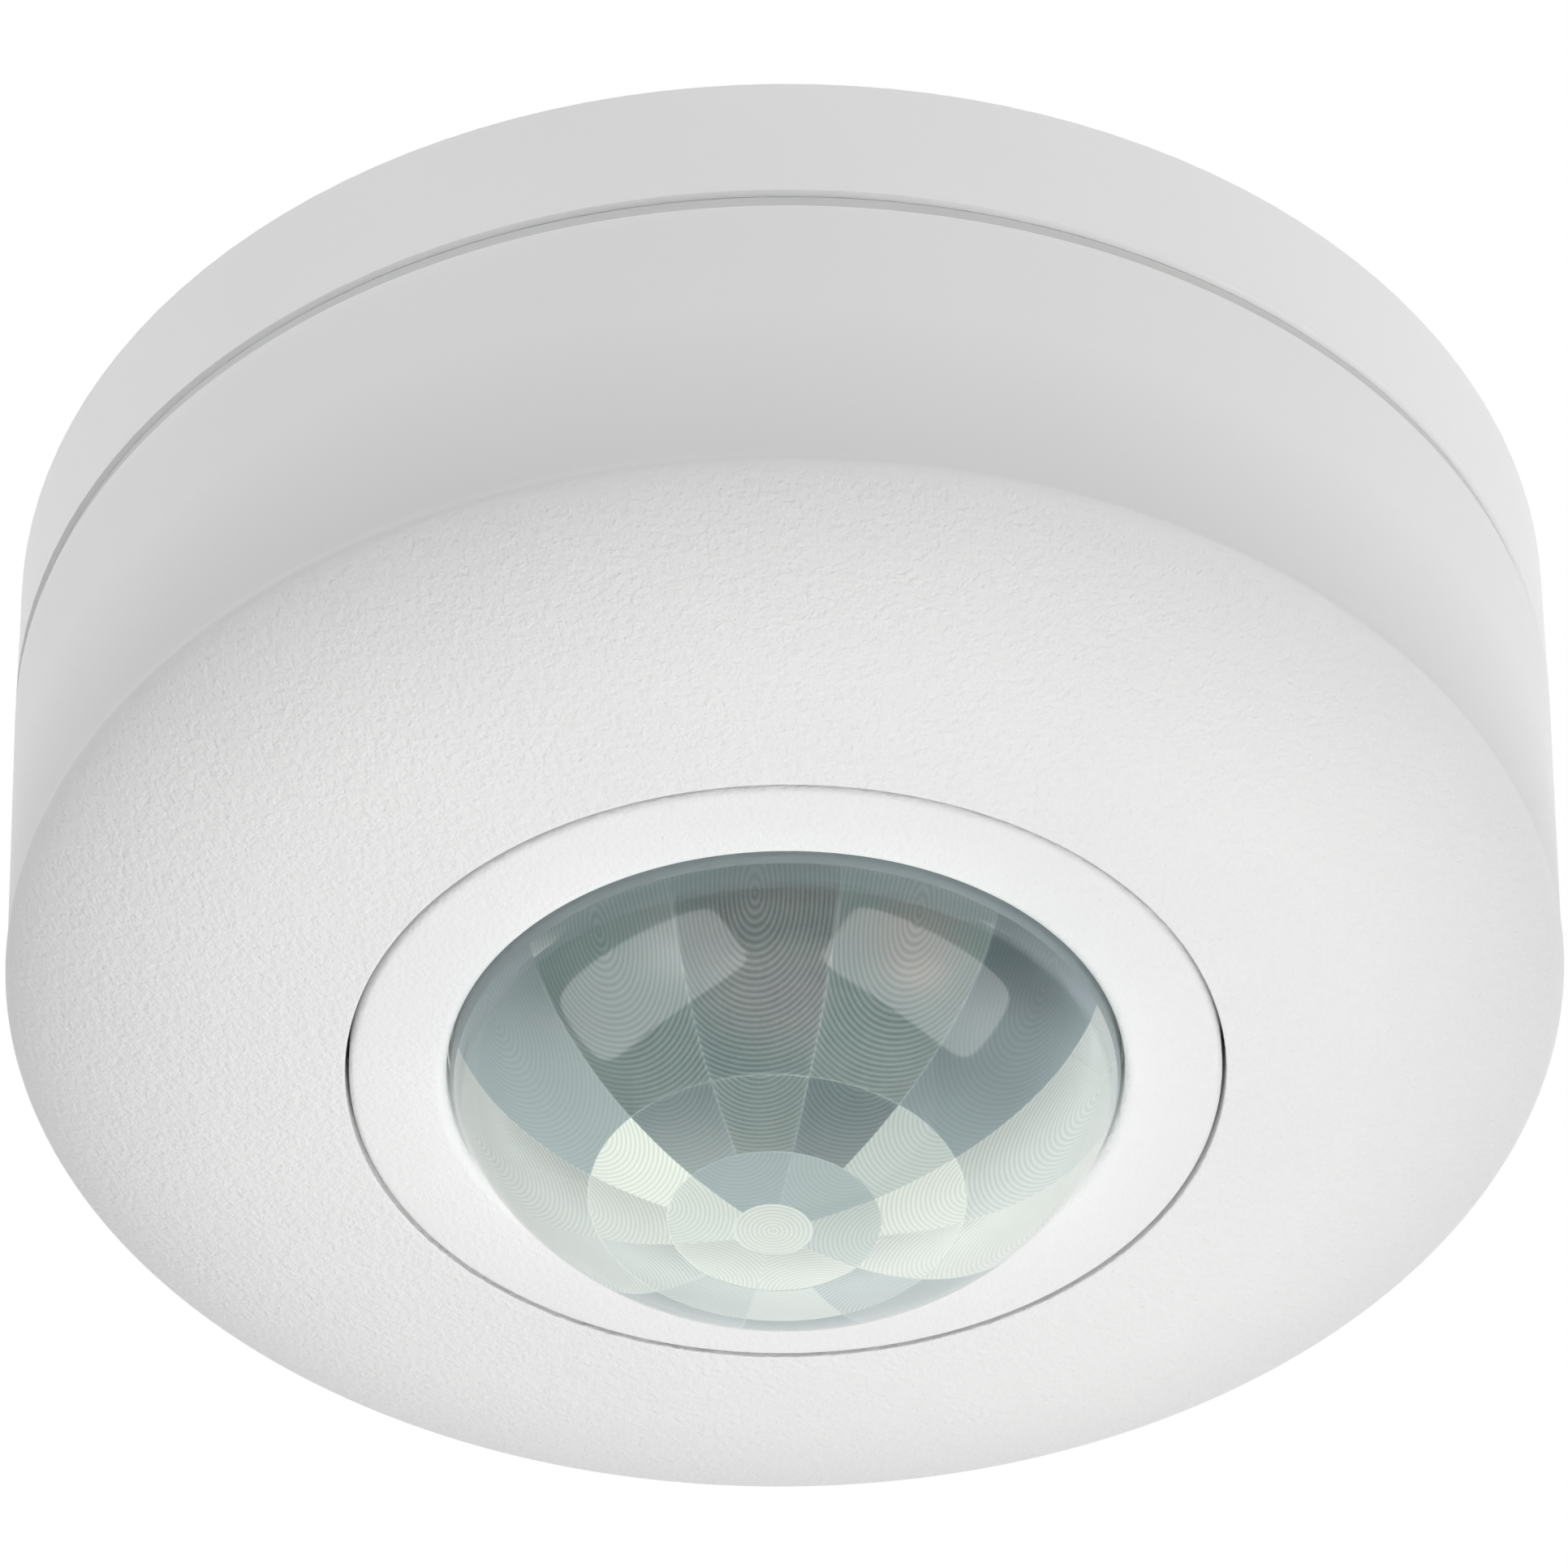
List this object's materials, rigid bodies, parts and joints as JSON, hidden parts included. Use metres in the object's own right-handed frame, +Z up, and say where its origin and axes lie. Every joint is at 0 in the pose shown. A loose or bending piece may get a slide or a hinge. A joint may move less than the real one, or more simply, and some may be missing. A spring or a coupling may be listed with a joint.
{
  "type": "motion sensor",
  "caption": "Round surface-mount ceiling motion detector with a domed faceted lens, trim ring, lift-off cover and shallow ceiling base.",
  "frame": {"origin": "centre of the base's mounting face, where it meets the ceiling", "axes": "+Z up into the ceiling; the lens looks down -Z; +X along the line of the fixing slots; +Y towards the cable entry"},
  "size_m": [0.1036, 0.1036, 0.0531],
  "materials": {
    "base_plastic": "smooth satin moulding",
    "cover_plastic": "satin wall, fine-grained face",
    "ring_plastic": "fine-grained moulding",
    "seal_rubber": "soft light grey silicone",
    "grommet_rubber": "matt light grey rubber",
    "lens_milky": "milky translucent polyethylene, glossy and grooved",
    "inner_plastic": "plain white moulding",
    "terminal_plastic": "light grey polyamide",
    "black_plastic": "black encapsulation",
    "board": "green solder mask",
    "brass": "bright stamped brass",
    "screw_steel": "zinc-plated steel",
    "nickel": "nickel-plated steel",
    "filter_glass": "dark infrared filter",
    "relay_case": "blue relay case",
    "ferrite": "sintered ferrite",
    "copper_wire": "enamelled copper winding",
    "film_box": "yellow film capacitor box",
    "can_sleeve": "dark glossy sleeve",
    "varistor_coat": "blue epoxy coat",
    "clear_resin": "clear resin",
    "red_resin": "tinted resin",
    "knob_plastic": "grey acetal"
  },
  "bodies": {
    "base": {"surface_base": "base_plastic", "seal_ring": "seal_rubber", "cable_grommet": "grommet_rubber", "terminal_block": "terminal_plastic", "busbars": "brass", "sensor_housing": "inner_plastic", "rear_cover": "inner_plastic", "housing_screws": "screw_steel", "case_screws": "screw_steel", "power_board": "board", "supply_blades": "brass", "relay": "relay_case", "transformer_core": "ferrite", "transformer_coil": "copper_wire", "mains_capacitor": "film_box", "bulk_capacitor": "can_sleeve", "output_capacitor": "can_sleeve", "varistor": "varistor_coat", "fuse": "black_plastic", "choke_core": "ferrite", "choke_coil": "copper_wire", "bridge_rectifier": "black_plastic", "board_spacers": "brass", "board_screws": "screw_steel", "header_body": "black_plastic", "header_socket": "black_plastic", "header_pins": "brass", "sensor_board": "board", "processor": "black_plastic", "sensor_holder": "black_plastic", "pyro_header": "nickel", "pyro_can": "nickel", "pyro_window": "filter_glass", "lens_retainer": "inner_plastic", "fresnel_lens": "lens_milky", "status_led": "red_resin", "light_sensor": "clear_resin", "lux_trimmer": "relay_case", "time_trimmer": "relay_case", "test_switch": "black_plastic"},
    "cover": {"cover": "cover_plastic"},
    "trim_ring": {"trim_ring": "ring_plastic"},
    "lux_knob": {"lux_knob": "knob_plastic"},
    "time_knob": {"time_knob": "knob_plastic"},
    "test_button": {"test_button": "knob_plastic"},
    "terminal_screw_1": {"terminal_screw_1": "screw_steel"},
    "clamp_cage_1": {"clamp_cage_1": "nickel"},
    "terminal_screw_2": {"terminal_screw_2": "screw_steel"},
    "clamp_cage_2": {"clamp_cage_2": "nickel"},
    "terminal_screw_3": {"terminal_screw_3": "screw_steel"},
    "clamp_cage_3": {"clamp_cage_3": "nickel"}
  },
  "joints": [
    {"name": "cover_pull", "type": "slide", "parent": "base", "child": "cover", "axis": [0, 0, -1], "range_m": [0, 0.045]},
    {"name": "ring_pull", "type": "slide", "parent": "base", "child": "trim_ring", "axis": [0, 0, -1], "range_m": [0, 0.022]},
    {"name": "lux_turn", "type": "hinge", "parent": "base", "child": "lux_knob", "pos_m": [0.0124, 0.02148, -0.033], "axis": [0, 0, -1], "range_deg": [-135, 135]},
    {"name": "time_turn", "type": "hinge", "parent": "base", "child": "time_knob", "pos_m": [-0.0248, 0, -0.033], "axis": [0, 0, -1], "range_deg": [-135, 135]},
    {"name": "test_press", "type": "slide", "parent": "base", "child": "test_button", "axis": [0, 0, 1], "range_m": [0, 0.0004], "stiffness_N_per_m": 400, "springref_m": -0.0008},
    {"name": "terminal_turn_1", "type": "hinge", "parent": "base", "child": "terminal_screw_1", "pos_m": [-0.0075, -0.0165, -0.0133], "axis": [0, 0, -1], "range_deg": [0, 1440]},
    {"name": "cage_travel_1", "type": "slide", "parent": "base", "child": "clamp_cage_1", "axis": [0, 0, 1], "range_m": [0, 0.0018]},
    {"name": "terminal_turn_2", "type": "hinge", "parent": "base", "child": "terminal_screw_2", "pos_m": [0, -0.0165, -0.0133], "axis": [0, 0, -1], "range_deg": [0, 1440]},
    {"name": "cage_travel_2", "type": "slide", "parent": "base", "child": "clamp_cage_2", "axis": [0, 0, 1], "range_m": [0, 0.0018]},
    {"name": "terminal_turn_3", "type": "hinge", "parent": "base", "child": "terminal_screw_3", "pos_m": [0.0075, -0.0165, -0.0133], "axis": [0, 0, -1], "range_deg": [0, 1440]},
    {"name": "cage_travel_3", "type": "slide", "parent": "base", "child": "clamp_cage_3", "axis": [0, 0, 1], "range_m": [0, 0.0018]}
  ],
  "couplings": [
    {"joint": "terminal_turn_1", "follows": "cage_travel_1", "rad_per_m": 13963},
    {"joint": "terminal_turn_2", "follows": "cage_travel_2", "rad_per_m": 13963},
    {"joint": "terminal_turn_3", "follows": "cage_travel_3", "rad_per_m": 13963}
  ]
}
